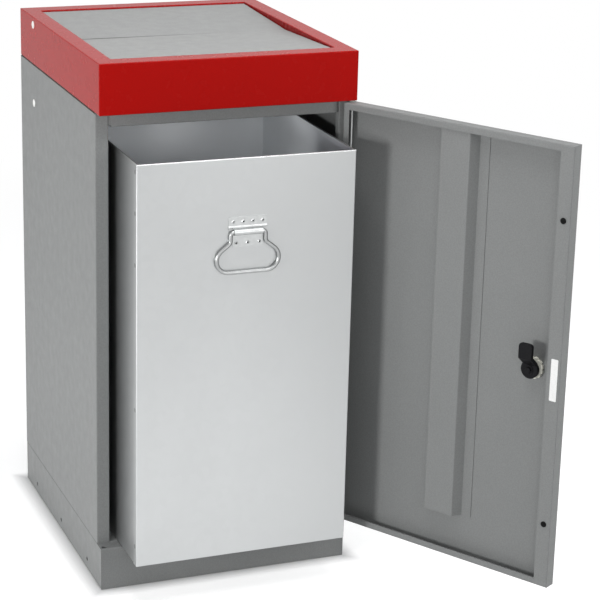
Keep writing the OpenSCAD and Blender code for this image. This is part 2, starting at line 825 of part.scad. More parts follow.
// Floor of the container with its edges turned up inside the walls
module container_floor() {
    s = bin_sheet;
    x = bin_half - 2 * s;
    y0 = bin_front + s;
    y1 = bin_rear - s;
    color("#b9bdbf")
    pulled()
        difference() {
            slab([-x, y0, bin_z], [x, y1, bin_z + bin_floor_edge]);
            slab([-x + s, y0 + s, bin_z + s], [x - s, y1 - s, bin_z + bin_floor_edge + s]);
        }
}

// Places of the seven rivets of the handle plate
module rivet_spots() {
    for (i = [-1.5, -0.5, 0.5, 1.5])
        translate([i * 15, 0, leaf_top - 7.5]) children();
    for (i = [-1, 0, 1])
        translate([i * 18, 0, grip_z - bead_r - plate_t - 12]) children();
}

// Handle plate: a wide and a narrow leaf, a bead between them for the wire and a rib over it
module handle_plate() {
    r = bead_r + plate_t;
    color("#dfe2e3")
    pulled()
        difference() {
            union() {
                slab([-plate_w / 2, bin_front - plate_t, grip_z + bead_r],
                    [plate_w / 2, bin_front, leaf_top]);
                bar_x(bin_front, grip_z + r + 2.6, -plate_w / 2, plate_w / 2, 4.8);
                slab([-leaf_w / 2, bin_front - plate_t, grip_z - r - 18],
                    [leaf_w / 2, bin_front, grip_z - r]);
                slab([-bead_w / 2, grip_y, grip_z - r], [bead_w / 2, bin_front, grip_z + r]);
                bar_x(grip_y, grip_z, -bead_w / 2, bead_w / 2, 2 * r);
            }
            bar_x(grip_y, grip_z, -plate_w, plate_w, 2 * bead_r);
            bar_x(bin_front, grip_z + r + 2.6, -plate_w, plate_w, 2.4);
            slab([-plate_w, grip_y, grip_z - bead_r], [plate_w, bin_front + 1, grip_z + bead_r]);
            slab([-plate_w, bin_front, grip_z - 2 * r], [plate_w, bin_front + 2 * r, grip_z + 3 * r]);
            rivet_spots()
                bar_y(0, 0, bin_front - 2 * plate_t, bin_front + 1, rivet_d + 2 * press_play);
            mirror_x() {
                round_y(-plate_w / 2, leaf_top, bin_front - 2 * plate_t, bin_front + 1, 0, 3);
                round_y(-leaf_w / 2, grip_z - r - 18, bin_front - 2 * plate_t, bin_front + 1, 3, 3);
            }
        }
}

module handle_rivets() {
    color("#d4d7d8")
    pulled()
        rivet_spots() {
            bar_y(0, 0, bin_front - plate_t, bin_front + bin_sheet, rivet_d);
            translate([0, bin_front - plate_t, 0]) rotate([90, 0, 0])
                cylinder(h = 1.1, d1 = rivet_d + 2.4, d2 = rivet_d);
            translate([0, bin_front + bin_sheet, 0]) rotate([-90, 0, 0])
                cylinder(h = 0.9, d1 = rivet_d + 2, d2 = rivet_d);
        }
}

// Bend of the wire in the plane of the handle, a hair thicker than the straight parts
module wire_bend(x, z, r, a0, a1) {
    translate([x, 0, z]) rotate([90, 0, 0]) rotate([0, 0, a0])
        rotate_extrude(angle = a1 - a0) translate([r, 0]) circle(d = wire_d + 0.06, $fn = 24);
}

// Straight part of the wire, let into the bends at both ends
module wire_run(x, z, len, lean) {
    translate([x, 0, z]) rotate([0, 180 - lean, 0])
        translate([0, 0, -0.3]) cylinder(h = len + 0.6, d = wire_d, $fn = 24);
}

// Wire handle: top bar in the bead, two necks, flared sides and a straight grip
module handle_bail() {
    top_r = top_bend;
    out_r = 8;
    low_r = 19;
    lean = 52;
    arm = 13.5;
    neck = 7.5;
    nx = neck_w / 2;
    neck_z = -top_r - neck;
    ax = nx + out_r * (1 - cos(lean));
    az = neck_z - out_r * sin(lean);
    bx = ax + arm * sin(lean);
    bz = az - arm * cos(lean);
    cx = bx - low_r * cos(lean);
    cz = bz - low_r * sin(lean);
    color("#d9dcdd")
    pulled()
        translate([0, grip_y, grip_z]) {
            wire_run(nx - top_r, 0, neck_w - 2 * top_r, 270);
            wire_run(cx, cz - low_r, 2 * cx, 270);
            mirror_x() {
                wire_bend(nx - top_r, -top_r, top_r, 0, 90);
                wire_run(nx, -top_r, neck, 0);
                wire_bend(nx + out_r, neck_z, out_r, 180, 180 + lean);
                wire_run(ax, az, arm, lean);
                wire_bend(cx, cz, low_r, -90, lean);
            }
        }
}

plinth_front();
plinth_surround();
floor_panel();
side_left();
side_right();
back_panel();
top_rail();
corner_brackets();
hood();
hood_screws();
hood_nuts();
side_plugs();
hinge_bushes();
lid_bushes();
lid_panel();
lid_weight();
lid_pins();
door_pan();
door_rib();
hinge_rod();
rod_washers();
door_buffers();
lock_body();
lock_nut();
lock_plug();
lock_cam();
cam_screw();
container_front();
container_wrap();
container_floor();
handle_plate();
handle_rivets();
handle_bail();
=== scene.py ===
"""Recycling bin with its door open: looks, fine parts, studio and camera.

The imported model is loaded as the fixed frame. Every steel sheet and fitting
gets its finish here, and the label, the spot welds and the other fine parts
are modelled on top of it. Everything is in metres, in the frame of the model.
"""

import json
import math

import bpy
from mathutils import Matrix, Vector

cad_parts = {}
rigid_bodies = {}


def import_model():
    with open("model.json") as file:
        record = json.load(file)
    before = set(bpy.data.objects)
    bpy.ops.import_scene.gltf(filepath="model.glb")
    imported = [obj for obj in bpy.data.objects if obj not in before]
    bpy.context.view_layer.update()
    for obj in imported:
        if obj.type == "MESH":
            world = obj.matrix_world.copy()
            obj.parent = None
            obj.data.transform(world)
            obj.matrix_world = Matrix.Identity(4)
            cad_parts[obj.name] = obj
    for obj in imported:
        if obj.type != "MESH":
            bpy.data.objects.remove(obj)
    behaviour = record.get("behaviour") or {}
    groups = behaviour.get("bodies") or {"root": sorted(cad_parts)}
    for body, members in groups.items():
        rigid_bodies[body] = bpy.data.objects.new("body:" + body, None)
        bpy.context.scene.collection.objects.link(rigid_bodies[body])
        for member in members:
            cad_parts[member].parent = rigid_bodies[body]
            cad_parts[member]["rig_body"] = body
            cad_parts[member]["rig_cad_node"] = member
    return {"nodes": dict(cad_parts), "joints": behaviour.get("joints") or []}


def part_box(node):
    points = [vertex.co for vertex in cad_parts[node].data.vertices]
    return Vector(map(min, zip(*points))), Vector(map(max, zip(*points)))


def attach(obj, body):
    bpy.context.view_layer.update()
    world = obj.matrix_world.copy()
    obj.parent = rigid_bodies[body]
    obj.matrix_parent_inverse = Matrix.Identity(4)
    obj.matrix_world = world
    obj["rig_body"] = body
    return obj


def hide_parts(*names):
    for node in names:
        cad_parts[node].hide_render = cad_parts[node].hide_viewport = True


bl_info = {
    "name": "Recycling Bin",
    "version": (1, 0, 0),
    "blender": (4, 5, 0),
    "location": "View3D > Sidebar > Bin",
    "description": "Finishes, fine parts and studio of a recycling bin",
    "category": "Object",
}

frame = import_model()

PAINTED_SHEETS = (
    "plinth_front", "plinth_surround", "floor_panel", "side_left", "side_right",
    "back_panel", "top_rail", "corner_brackets", "lid_weight", "door_pan", "door_rib",
)
PLASTIC_PARTS = ("hinge_bushes", "lid_bushes", "rod_washers")
ZINC_PARTS = (
    "hood_screws", "hood_nuts", "lid_pins", "hinge_rod", "lock_body", "lock_plug",
)
PLAIN_ZINC_SHEETS = ("container_front", "container_floor")

# The shadow gaps round the side panels, with shade painted along them: height, and half of the
# gap's height.
GAP_OVER_PLINTH = (0.0680, 0.0006)
GAP_UNDER_HOOD = (0.7430, 0.0010)
# The black of the shade that is painted into gaps and creases.
PAINTED_SHADE_BLACK = (0.01, 0.01, 0.01)
SIDE_PANEL_OUTSIDE = 0.1992

# The container as it stands in the model, drawn out. Painted light makes its
# inside lighter from its front to a place deep in it.
CONTAINER_MIDDLE = (0.0, -0.114, 0.38)
CONTAINER_FRONT_Y, CONTAINER_DEEP_Y = -0.31, 0.02

# Edges that turn by more than the first angle are rounded, and faces that meet
# at less than the second are shaded as one.
EDGE_ANGLE = math.radians(32)
SMOOTH_ANGLE = math.radians(40)

# Points of a mesh that are closer than this are one point.
SAME_POINT = 0.000001

# The mix node's colour sockets, which share their names with others.
COLOUR_A, COLOUR_B, COLOUR_RESULT = 6, 7, 2


# ---------------------------------------------------------------- sizes


class BinSizes(bpy.types.PropertyGroup):
    wire_diameter: bpy.props.FloatProperty(
        name="Wire", description="Diameter of the handle's wire",
        default=0.006, min=0.004, max=0.008, unit="LENGTH")
    handle_neck: bpy.props.FloatProperty(
        name="Handle neck", description="Width of the handle between the middles of its necks",
        default=0.054, min=0.04, max=0.07, unit="LENGTH")
    edge_radius: bpy.props.FloatProperty(
        name="Edge radius", description="Radius on the edges of the small fittings",
        default=0.0005, min=0.0001, max=0.001, unit="LENGTH")
    label_width: bpy.props.FloatProperty(
        name="Label width", description="Width of the blank label on the door's lip",
        default=0.0115, min=0.004, max=0.018, unit="LENGTH")
    label_height: bpy.props.FloatProperty(
        name="Label height", description="Height of the blank label",
        default=0.064, min=0.02, max=0.12, unit="LENGTH")
    weld_diameter: bpy.props.FloatProperty(
        name="Spot weld", description="Diameter of a spot weld on the container",
        default=0.007, min=0.003, max=0.012, unit="LENGTH")
    door_angle: bpy.props.FloatProperty(
        name="Door angle", description="How far the door stands open in the model",
        default=math.radians(121), subtype="ANGLE")


class BinColours(bpy.types.PropertyGroup):
    grey: bpy.props.FloatVectorProperty(
        name="Grey", description="Powder coat of the cabinet and the door",
        default=(0.186, 0.191, 0.189), size=3, min=0, max=1, subtype="COLOR")
    red: bpy.props.FloatVectorProperty(
        name="Red", description="Paint of the hood",
        default=(0.31, 0.002, 0.001), size=3, min=0, max=1, subtype="COLOR")
    light_grey: bpy.props.FloatVectorProperty(
        name="Light grey", description="Powder coat of the lid",
        default=(0.27, 0.273, 0.27), size=3, min=0, max=1, subtype="COLOR")
    galvanised: bpy.props.FloatVectorProperty(
        name="Galvanised", description="Zinc skin of the container",
        default=(0.515, 0.526, 0.528), size=3, min=0, max=1, subtype="COLOR")
    zinc: bpy.props.FloatVectorProperty(
        name="Zinc", description="Plating of the fittings",
        default=(0.44, 0.45, 0.45), size=3, min=0, max=1, subtype="COLOR")


class BinStudio(bpy.types.PropertyGroup):
    camera_place: bpy.props.FloatVectorProperty(
        name="Camera place", description="Where the camera stands",
        default=(-0.9911, -3.0021, 1.4176), size=3, subtype="XYZ", unit="LENGTH")
    camera_turn: bpy.props.FloatVectorProperty(
        name="Camera turn", description="How the camera is turned",
        default=(math.radians(72.663), math.radians(-1.422), math.radians(-21.300)),
        size=3, subtype="EULER")
    lens: bpy.props.FloatProperty(
        name="Lens", description="Focal length on a 36 mm wide sensor",
        default=123.55, min=20, max=300)
    shift: bpy.props.FloatProperty(
        name="Shift", description="Vertical shift of the lens", default=-0.05)


# ---------------------------------------------------------------- materials


class NodeTree:
    """Adds nodes to a shader tree and joins them, left to right."""

    def __init__(self, tree):
        self.tree = tree
        self.tree.nodes.clear()

    def add(self, kind, **values):
        node = self.tree.nodes.new(kind)
        for key, value in values.items():
            setattr(node, key, value)
        return node

    def join(self, a, output, b, socket):
        self.tree.links.new(a.outputs[output], b.inputs[socket])

    def math(self, operation, first, second=None):
        node = self.add("ShaderNodeMath", operation=operation)
        self.join(*first, node, 0)
        if second:
            self.join(*second, node, 1)
        return node, 0

    def choose(self, factor, first, second):
        """The first shader where the factor is nought, the second where it is one."""
        node = self.add("ShaderNodeMixShader")
        self.join(*factor, node, 0)
        self.join(first, 0, node, 1)
        self.join(second, 0, node, 2)
        return node

    def seen(self):
        """One for what is seen, directly or in a reflection, nought for light that falls."""
        path = self.add("ShaderNodeLightPath")
        result = (path, "Is Camera Ray")
        for output in ("Is Glossy Ray", "Is Transmission Ray"):
            result = self.math("MAXIMUM", result, (path, output))
        return result


class Finish(NodeTree):
    """A material that ends in one principled shader and follows the piece's own place."""

    def __init__(self, name):
        self.material = bpy.data.materials.new(name)
        self.material.use_nodes = True
        super().__init__(self.material.node_tree)
        self.shader = self.add("ShaderNodeBsdfPrincipled")
        self.output = self.add("ShaderNodeOutputMaterial")
        self.join(self.shader, "BSDF", self.output, "Surface")
        self.place = (self.add("ShaderNodeTexCoord"), "Object")

    def plain(self, **values):
        """Sets what is the same all over on the shader's own sockets."""
        for key, value in values.items():
            self.shader.inputs[key.replace("_", " ")].default_value = value

    def noise(self, scale, detail=2.0, roughness=0.5, stretch=None):
        texture = self.add("ShaderNodeTexNoise")
        texture.inputs["Scale"].default_value = scale
        texture.inputs["Detail"].default_value = detail
        texture.inputs["Roughness"].default_value = roughness
        place = self.place
        if stretch:
            mapping = self.add("ShaderNodeMapping")
            mapping.inputs["Scale"].default_value = stretch
            self.join(*place, mapping, "Vector")
            place = (mapping, "Vector")
        self.join(*place, texture, "Vector")
        return texture, "Fac"

    def cells(self, scale):
        texture = self.add("ShaderNodeTexVoronoi", feature="F1")
        texture.inputs["Scale"].default_value = scale
        self.join(*self.place, texture, "Vector")
        return texture, "Color"

    def split(self):
        """The place as three numbers, X, Y and Z."""
        node = self.add("ShaderNodeSeparateXYZ")
        self.join(*self.place, node, "Vector")
        return node

    def ramp(self, source, low, high, to_low=0.0, to_high=1.0):
        node = self.add("ShaderNodeMapRange", clamp=True)
        node.inputs["From Min"].default_value = low
        node.inputs["From Max"].default_value = high
        node.inputs["To Min"].default_value = to_low
        node.inputs["To Max"].default_value = to_high
        self.join(*source, node, "Value")
        return node, "Result"

    def mix(self, factor, first, second):
        """Mixes two colours, each plain or another node's, by a number or a node's output."""
        node = self.add("ShaderNodeMix", data_type="RGBA")
        if isinstance(factor, float):
            node.inputs["Factor"].default_value = factor
        else:
            self.join(*factor, node, "Factor")
        for socket, value in ((COLOUR_A, first), (COLOUR_B, second)):
            if isinstance(value[0], bpy.types.Node):
                self.join(*value, node, socket)
            else:
                node.inputs[socket].default_value = (*value, 1.0)
        return node, COLOUR_RESULT

    def colour(self, source):
        self.base = source
        self.join(*source, self.shader, "Base Color")

    def paint_shade(self, mask):
        """Lays painted shade, as black as a narrow gap, over the colour so far, where the mask is
        one.
        """
        self.colour(self.mix(mask, self.base, PAINTED_SHADE_BLACK))

    def roughness(self, source):
        self.join(*source, self.shader, "Roughness")

    def bump(self, source, distance, strength):
        """Adds a bump on top of those that the shader has already."""
        node = self.add("ShaderNodeBump")
        node.inputs["Distance"].default_value = distance
        node.inputs["Strength"].default_value = strength
        self.join(*source, node, "Height")
        if self.shader.inputs["Normal"].is_linked:
            link = self.shader.inputs["Normal"].links[0]
            self.tree.links.new(link.from_socket, node.inputs["Normal"])
        self.join(node, "Normal", self.shader, "Normal")


def shade(colour, factor):
    return tuple(min(1.0, c * factor) for c in colour)


def powder_coat(name, colour, roughness=(0.36, 0.46), grain=0.5, gloss=0.16, cloud=0.02):
    """Baked powder coat: fine orange peel, a faint mottle and slightly varied gloss."""
    nodes = Finish(name)
    mottle = nodes.ramp(nodes.noise(14.0, 3.0), 0.35, 0.65)
    speck = nodes.ramp(nodes.noise(560.0, 1.0), 0.38, 0.62)
    broad = nodes.mix(mottle, shade(colour, 1 - cloud), shade(colour, 1 + cloud))
    fine = nodes.mix(speck, shade(colour, 1 - 5 * cloud), shade(colour, 1 + 5 * cloud))
    nodes.colour(nodes.mix(0.5, broad, fine))
    nodes.roughness(nodes.ramp(nodes.noise(60.0, 4.0), 0.3, 0.7, *roughness))
    nodes.bump(nodes.noise(620.0, 2.0), 0.00012 * grain, 0.35)
    nodes.plain(Metallic=0.0, IOR=1.5, Specular_IOR_Level=gloss)
    return nodes


def add_crease_shade(nodes, half_width, reach, fade):
    """Paints shade into a hair line across the lid's middle, where it is creased, strongest at the
    left and fading out.
    """
    split = nodes.split()
    off = nodes.math("ABSOLUTE", (split, "Y"))
    line = nodes.ramp(off, 0.5 * half_width, half_width, 1.0, 0.0)
    along = nodes.ramp((split, "X"), reach - fade, reach, 0.9, 0.0)
    nodes.paint_shade(nodes.math("MULTIPLY", line, along))


def add_gap_shade(nodes, *seams):
    """Paints shade on the outside of the side panels along the shadow gaps."""
    split = nodes.split()
    across = nodes.math("ABSOLUTE", (split, "X"))
    outside = nodes.ramp(across, SIDE_PANEL_OUTSIDE - 0.0002, SIDE_PANEL_OUTSIDE, 0.0, 0.8)
    for height, half_width in seams:
        near = nodes.math("COMPARE", (split, "Z"))
        near[0].inputs[1].default_value = height
        near[0].inputs[2].default_value = half_width
        nodes.paint_shade(nodes.math("MULTIPLY", near, outside))


def looking_in(nodes):
    """One on the faces that look into the container, nought on its outside."""
    away = nodes.add("ShaderNodeVectorMath", operation="SUBTRACT")
    nodes.join(*nodes.place, away, 0)
    away.inputs[1].default_value = CONTAINER_MIDDLE
    facing = nodes.add("ShaderNodeNewGeometry")
    dot = nodes.add("ShaderNodeVectorMath", operation="DOT_PRODUCT")
    nodes.join(away, 0, dot, 0)
    nodes.join(facing, "True Normal", dot, 1)
    return nodes.ramp((dot, "Value"), -0.01, 0.01, 1.0, 0.0)


def galvanised_steel(name, colour):
    """Hot-dip galvanised sheet: faint spangle, rolling streaks and cloudy gloss.

    It has a painted shade that grows to the right, and its less metallic inside has painted light
    that is dimmest at the front.
    """
    nodes = Finish(name)
    spangle = nodes.ramp(nodes.cells(85.0), 0.0, 1.0)
    cloud = nodes.ramp(nodes.noise(5.0, 4.0), 0.3, 0.7)
    streak = nodes.ramp(nodes.noise(40.0, 3.0, 0.6, (9.0, 9.0, 0.8)), 0.3, 0.7)
    tone = nodes.mix(cloud, shade(colour, 0.95), shade(colour, 1.03))
    grain = nodes.mix(spangle, shade(colour, 0.965), shade(colour, 1.02))
    unshaded_tone = nodes.mix(0.45, tone, grain)
    split = nodes.split()
    # Painted shade: the colour darkens towards the right.
    across = nodes.ramp((split, "X"), -0.02, 0.17)
    painted_shade_right = nodes.mix(across, unshaded_tone, shade(colour, 0.91))
    depth = nodes.ramp((split, "Y"), CONTAINER_FRONT_Y, CONTAINER_DEEP_Y)
    # Painted light on the inside: dark at the front, near white deep in.
    inside = nodes.mix(depth, (0.27, 0.28, 0.31), (0.95, 0.98, 1.0))
    facing = looking_in(nodes)
    nodes.colour(nodes.mix(facing, painted_shade_right, inside))
    nodes.roughness(nodes.ramp(streak, 0.0, 1.0, 0.29, 0.33))
    nodes.bump(nodes.noise(500.0, 3.0), 0.00003, 0.3)
    nodes.bump(nodes.noise(3.0, 1.0), 0.0012, 0.25)
    nodes.join(*nodes.ramp(facing, 0.0, 1.0, 0.88, 0.12), nodes.shader, "Metallic")
    return nodes.material


def zinc_plate(name, colour, roughness=(0.24, 0.32)):
    """Bright zinc plating on wire and small pressed parts."""
    nodes = Finish(name)
    cloud = nodes.ramp(nodes.noise(120.0, 3.0), 0.3, 0.7)
    nodes.colour(nodes.mix(cloud, shade(colour, 0.92), shade(colour, 1.04)))
    nodes.roughness(nodes.ramp(nodes.noise(300.0, 2.0), 0.3, 0.7, *roughness))
    nodes.bump(nodes.noise(90.0, 1.0), 0.00001, 0.2)
    nodes.plain(Metallic=1.0)
    return nodes.material


def moulded(name, colour, roughness=(0.38, 0.5), gloss=0.3):
    """Moulded plastic or rubber with a fine eroded texture."""
    nodes = Finish(name)
    speck = nodes.ramp(nodes.noise(700.0, 2.0), 0.3, 0.7)
    nodes.colour(nodes.mix(speck, shade(colour, 0.93), shade(colour, 1.05)))
    nodes.roughness(nodes.ramp(nodes.noise(200.0, 3.0), 0.3, 0.7, *roughness))
    nodes.bump(nodes.noise(1500.0, 1.0), 0.00004, 0.3)
    nodes.plain(Specular_IOR_Level=gloss)
    return nodes.material


def dress(names, material):
    for name in names:
        mesh = frame["nodes"][name].data
        mesh.materials.clear()
        mesh.materials.append(material)


# ---------------------------------------------------------------- modelling helpers


def nothing_selected():
    if bpy.context.object and bpy.context.object.mode != "OBJECT":
        bpy.ops.object.mode_set(mode="OBJECT")
    bpy.ops.object.select_all(action="DESELECT")


def all_picked():
    """Opens edit mode on the active piece with everything selected."""
    bpy.ops.object.mode_set(mode="EDIT")
    bpy.ops.mesh.select_mode(type="VERT")
    bpy.ops.mesh.select_all(action="SELECT")


def finished(piece, name, material, body):
    """Names a modelled piece, moves its place into its mesh and hangs it on its body."""
    nothing_selected()
    piece.select_set(True)
    bpy.context.view_layer.objects.active = piece
    bpy.ops.object.transform_apply(location=True, rotation=True, scale=True)
    piece.name = name
    piece.data.name = name
    piece.data.materials.clear()
    piece.data.materials.append(material)
    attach(piece, body)


def reworked(node, name):
    """A loose copy of a CAD node with its split points merged and its flat faces whole again."""
    nothing_selected()
    source = frame["nodes"][node]
    piece = source.copy()
    piece.data = source.data.copy()
    piece.name = name
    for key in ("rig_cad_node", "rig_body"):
        del piece[key]
    piece.parent = None
    bpy.context.scene.collection.objects.link(piece)
    piece.select_set(True)
    bpy.context.view_layer.objects.active = piece
    if piece.data.has_custom_normals:
        bpy.ops.mesh.customdata_custom_splitnormals_clear()
    all_picked()
    bpy.ops.mesh.remove_doubles(threshold=2 * SAME_POINT)
    bpy.ops.mesh.dissolve_limited(angle_limit=math.radians(0.5))
    bpy.ops.mesh.normals_make_consistent(inside=False)
    bpy.ops.object.mode_set(mode="OBJECT")
    return piece


def rounded(piece, radius, segments=2):
    """Rounds the sharp edges of a piece and shades it smoothly."""
    nothing_selected()
    piece.select_set(True)
    bpy.context.view_layer.objects.active = piece
    bpy.ops.object.shade_smooth_by_angle(angle=SMOOTH_ANGLE)
    bpy.ops.object.modifier_add(type="BEVEL")
    bevel = piece.modifiers[-1]
    bevel.harden_normals = True
    bevel.width = radius
    bevel.segments = segments
    bevel.limit_method = "ANGLE"
    bevel.angle_limit = EDGE_ANGLE
    bpy.ops.object.modifier_apply(modifier=bevel.name)


def pick_faces(piece, wanted):
    """Selects the faces, by middle and normal, for which wanted is true, and opens edit mode."""
    nothing_selected()
    piece.select_set(True)
    bpy.context.view_layer.objects.active = piece
    bpy.ops.object.mode_set(mode="EDIT")
    bpy.ops.mesh.select_mode(type="FACE")
    bpy.ops.mesh.select_all(action="DESELECT")
    bpy.ops.object.mode_set(mode="OBJECT")
    picked = 0
    for face in piece.data.polygons:
        face.select = bool(wanted(face.center, face.normal))
        picked += face.select
    if not picked:
        raise RuntimeError(f"no face of {piece.name} was picked")
    bpy.ops.object.mode_set(mode="EDIT")


def joint_place(name):
    """Where a joint of the model turns."""
    joint = [j for j in frame["joints"] if j["name"] == name][0]
    return joint["pos_m"]


def on_open_door(x, y, z):
    """A point of the closed door, where it is with the door open as modelled."""
    angle = bpy.context.scene.bin_sizes.door_angle
    hinge = Vector((*joint_place("door_swing")[:2], 0))
    return Matrix.Rotation(angle, 3, "Z") @ (Vector((x, y, z)) - hinge) + hinge


# ---------------------------------------------------------------- operators


class BIN_OT_cabinet(bpy.types.Operator):
    """Give the cabinet's and the door's sheets their grey powder coat"""
    bl_idname = "recycling_bin.cabinet"
    bl_label = "Cabinet and door"

    def execute(self, context):
        colours = context.scene.bin_colours
        coat = powder_coat("grey powder coat", tuple(colours.grey))
        # Painted shade along the gaps over the plinth and under the hood.
        add_gap_shade(coat, GAP_OVER_PLINTH, GAP_UNDER_HOOD)
        dress(PAINTED_SHEETS, coat.material)
        return {"FINISHED"}


class BIN_OT_hood(bpy.types.Operator):
    """Paint the hood red"""
    bl_idname = "recycling_bin.hood"
    bl_label = "Hood"

    def execute(self, context):
        red = tuple(context.scene.bin_colours.red)
        coat = powder_coat("red powder coat", red, roughness=(0.25, 0.28), grain=0.15,
                           gloss=0.07, cloud=0.012)
        dress(["hood"], coat.material)
        return {"FINISHED"}


class BIN_OT_lid(bpy.types.Operator):
    """Give the swinging lid its light grey powder coat"""
    bl_idname = "recycling_bin.lid"
    bl_label = "Lid"

    def execute(self, context):
        grey = tuple(context.scene.bin_colours.light_grey)
        coat = powder_coat("light grey powder coat", grey, roughness=(0.4, 0.5))
        # Painted shade along the crease of the lid.
        add_crease_shade(coat, half_width=0.0032, reach=0.07, fade=0.2)
        dress(["lid_panel"], coat.material)
        return {"FINISHED"}


class BIN_OT_container(bpy.types.Operator):
    """Give the container its galvanised skin"""
    bl_idname = "recycling_bin.container"
    bl_label = "Container"

    def execute(self, context):
        zinc = tuple(context.scene.bin_colours.galvanised)
        dress(PLAIN_ZINC_SHEETS, galvanised_steel("galvanised steel", zinc))
        # The sides' sheet gets painted shade: the same zinc, a tenth darker.
        dress(["container_wrap"], galvanised_steel("galvanised sides painted shade", shade(zinc, 0.9)))
        return {"FINISHED"}


class BIN_OT_welds(bpy.types.Operator):
    """Put the rows of spot welds on the container's wrapped edges"""
    bl_idname = "recycling_bin.welds"
    bl_label = "Spot welds"

    # Above the container's lower edge, and behind its front.
    heights = (0.030, 0.248, 0.470, 0.547, 0.608)
    behind_front = 0.008
    ring_height, dip_depth = 0.0001, 0.00006

    def execute(self, context):
        radius = context.scene.bin_sizes.weld_diameter / 2
        left, front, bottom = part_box("container_front")[0]
        spot = self.spot(radius)
        welds = []
        for row in (-1, 1):
            for height in self.heights:
                nothing_selected()
                spot.select_set(True)
                context.view_layer.objects.active = spot
                bpy.ops.object.duplicate(linked=False)
                weld = context.object
                weld.rotation_euler = (0, row * math.pi / 2, 0)
                weld.location = (-row * left, front + self.behind_front, bottom + height)
                welds.append(weld)
        nothing_selected()
        for weld in welds:
            weld.select_set(True)
        context.view_layer.objects.active = welds[0]
        bpy.ops.object.join()
        bpy.data.objects.remove(spot)
        tone = shade(tuple(context.scene.bin_colours.galvanised), 0.55)
        finished(context.object, "weld_spots", galvanised_steel("heat tinted zinc", tone),
                 "container")
        return {"FINISHED"}

    def spot(self, radius):
        """A flat ring with a shallow middle, facing up."""
        nothing_selected()
        bpy.ops.mesh.primitive_circle_add(vertices=20, radius=radius, fill_type="NGON")
        spot = bpy.context.object
        all_picked()
        bpy.ops.mesh.inset(thickness=radius * 0.2)
        bpy.ops.transform.translate(value=(0, 0, self.ring_height))
        bpy.ops.mesh.inset(thickness=radius * 0.2)
        bpy.ops.mesh.inset(thickness=radius * 0.15)
        bpy.ops.transform.translate(value=(0, 0, -self.dip_depth))
        bpy.ops.object.mode_set(mode="OBJECT")
        bpy.ops.object.shade_smooth()
        return spot


